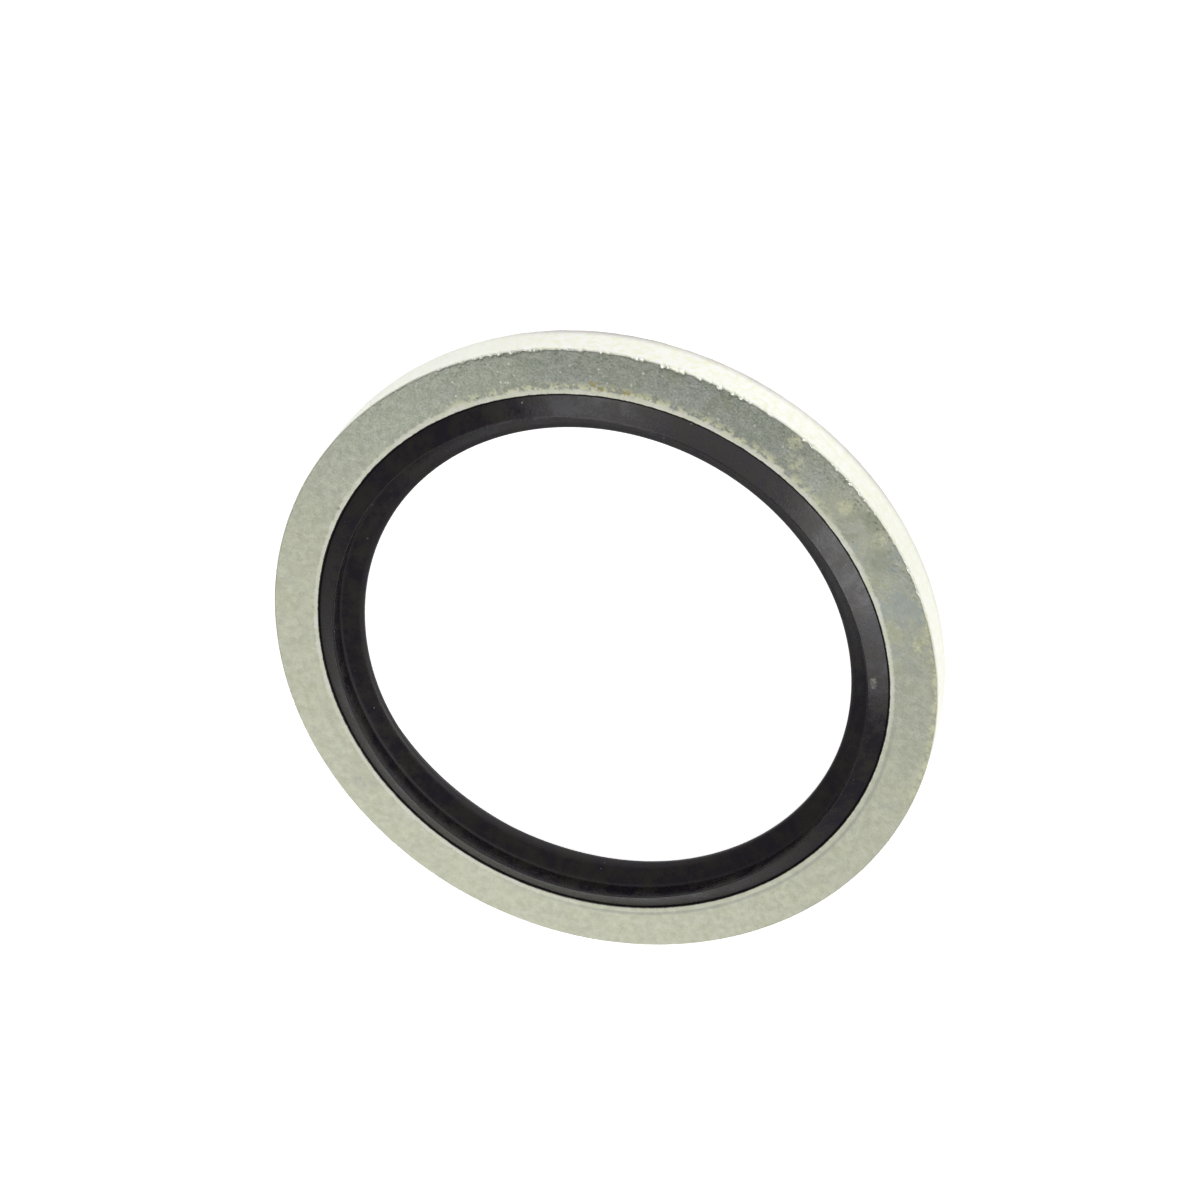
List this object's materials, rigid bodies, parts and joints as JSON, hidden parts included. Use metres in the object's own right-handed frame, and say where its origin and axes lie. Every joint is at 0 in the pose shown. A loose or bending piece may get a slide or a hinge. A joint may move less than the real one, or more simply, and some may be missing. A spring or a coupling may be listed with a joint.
{
  "type": "bonded sealing washer",
  "caption": "Flat zinc-plated steel ring with a black rubber seal bonded in its bore: a raised conical lip on each face and a tapered inner web that centres it on a pipe thread.",
  "frame": {"origin": "on the axis of the bore, half-way through the thickness", "axes": "+Z along the axis of the bore, out of one of the two like faces; +X and +Y lie in the middle plane, and any direction there is alike"},
  "size_m": [0.0524, 0.0524, 0.0048],
  "materials": {
    "zinc_plated_steel": "satin zinc plate with a pale yellow-green passivation, finely mottled",
    "black_rubber": "moulded black nitrile rubber, low sheen"
  },
  "bodies": {
    "root": {"metal_ring": "zinc_plated_steel", "rubber_seal": "black_rubber"}
  },
  "joints": []
}
